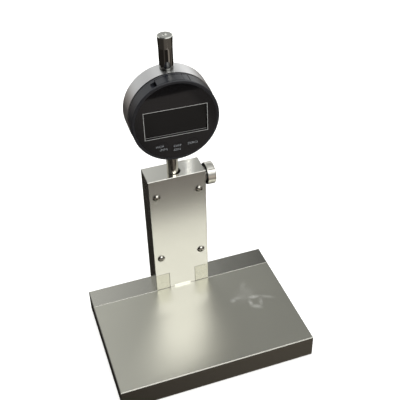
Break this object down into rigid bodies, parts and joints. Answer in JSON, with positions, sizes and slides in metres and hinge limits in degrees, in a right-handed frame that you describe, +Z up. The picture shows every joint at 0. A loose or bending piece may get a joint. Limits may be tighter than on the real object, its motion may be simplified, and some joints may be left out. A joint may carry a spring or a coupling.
{
  "type": "road marking thickness gauge",
  "caption": "Road marking thickness gauge: a steel foot plate with an upright column, a measuring slide that drops to the road and a clamped digital indicator that reads it.",
  "frame": {"origin": "on the underside, in the middle of the gauge's footprint", "axes": "+Z up along the column, -Y towards the reader, +X to the reader's right, where the clamp screw is"},
  "size_m": [0.14, 0.101, 0.2216],
  "materials": {
    "ground_steel": "ground and satin polished",
    "bright_steel": "ground",
    "hardened_steel": "hardened and ground",
    "brushed_column": "finely brushed",
    "brushed_cover": "finely brushed",
    "black_screws": "black oxide",
    "bright_screws": "nickel plated",
    "bright_insert": "bright",
    "connector_rubber": "layered conductive rubber",
    "bronze_bush": "turned bronze",
    "rail_steel": "milled",
    "brass_pad": "turned",
    "knurled_steel": "fine knurl, nickel plated",
    "silver_case": "satin",
    "black_housing": "moulded, satin",
    "gloss_face": "gloss",
    "display_glass": "smoked",
    "circuit_board": "solder mask",
    "switch_plastic": "moulded",
    "bright_stem": "ground and polished",
    "chrome_cap": "chromium plated",
    "spring_contacts": "sprung strip",
    "scale_strip": "etched copper on laminate",
    "spring_wire": "music wire",
    "key_face": "satin gloss",
    "cell_steel": "nickel plated"
  },
  "bodies": {
    "base": {"base_plate": "ground_steel", "rear_bar": "ground_steel", "base_screws": "black_screws", "base_dowels": "bright_steel", "column_block": "brushed_column", "column_screws": "black_screws", "front_cover": "brushed_cover", "cover_screws": "bright_screws", "foot_insert": "bright_insert", "stop_pin": "bright_steel"},
    "slide": {"measuring_slide": "hardened_steel"},
    "clamp_pad": {"clamp_pad": "brass_pad"},
    "thumb_screw": {"thumb_screw": "knurled_steel"},
    "indicator": {"case_shell": "silver_case", "rear_cover": "black_housing", "rear_cover_screws": "bright_screws", "bezel_ring": "black_housing", "face_plate": "gloss_face", "lcd_glass": "display_glass", "display_board": "circuit_board", "key_switches": "switch_plastic", "sensor_board": "circuit_board", "stem_bush": "bright_stem", "dust_cap": "chrome_cap", "battery_contacts": "spring_contacts", "display_connectors": "connector_rubber", "upper_bush": "bronze_bush", "guide_rail": "rail_steel"},
    "spindle": {"spindle": "bright_steel", "contact_tip": "hardened_steel", "spindle_scale": "scale_strip", "guide_pin": "bright_steel", "return_spring": "spring_wire"},
    "unit_key": {"unit_key": "key_face"},
    "power_key": {"power_key": "key_face"},
    "zero_key": {"zero_key": "key_face"},
    "battery_tray": {"battery_tray": "black_housing", "button_cell": "cell_steel"}
  },
  "joints": [
    {"name": "slide_travel", "type": "slide", "parent": "base", "child": "slide", "axis": [0, 0, 1], "range_m": [-0.008, 0.0045]},
    {"name": "indicator_swivel", "type": "hinge", "parent": "base", "child": "indicator", "pos_m": [-0.0007, 0.04, 0.12], "axis": [0, 0, 1], "continuous": true},
    {"name": "spindle_travel", "type": "slide", "parent": "indicator", "child": "spindle", "axis": [0, 0, 1], "range_m": [-0.0081, 0.0046], "stiffness_N_per_m": 30, "springref_m": -0.025, "deforming": ["return_spring"]},
    {"name": "clamp_advance", "type": "slide", "parent": "base", "child": "clamp_pad", "axis": [1, 0, 0], "range_m": [0, 0.00082]},
    {"name": "clamp_turn", "type": "hinge", "parent": "clamp_pad", "child": "thumb_screw", "pos_m": [0.025, 0.04, 0.112], "axis": [1, 0, 0], "range_deg": [0, 360]},
    {"name": "unit_key_press", "type": "slide", "parent": "indicator", "child": "unit_key", "axis": [0.0349, 0.9994, 0], "range_m": [0, 0.0004], "stiffness_N_per_m": 400, "springref_m": -0.0004},
    {"name": "power_key_press", "type": "slide", "parent": "indicator", "child": "power_key", "axis": [0.0349, 0.9994, 0], "range_m": [0, 0.0004], "stiffness_N_per_m": 400, "springref_m": -0.0004},
    {"name": "zero_key_press", "type": "slide", "parent": "indicator", "child": "zero_key", "axis": [0.0349, 0.9994, 0], "range_m": [0, 0.0004], "stiffness_N_per_m": 400, "springref_m": -0.0004},
    {"name": "battery_tray_draw", "type": "slide", "parent": "indicator", "child": "battery_tray", "axis": [0, 0, 1], "range_m": [0, 0.016]}
  ],
  "couplings": [
    {"joint": "spindle_travel", "follows": "slide_travel", "ratio": 1},
    {"joint": "clamp_advance", "follows": "clamp_turn", "m_per_rad": 0.00012732}
  ]
}
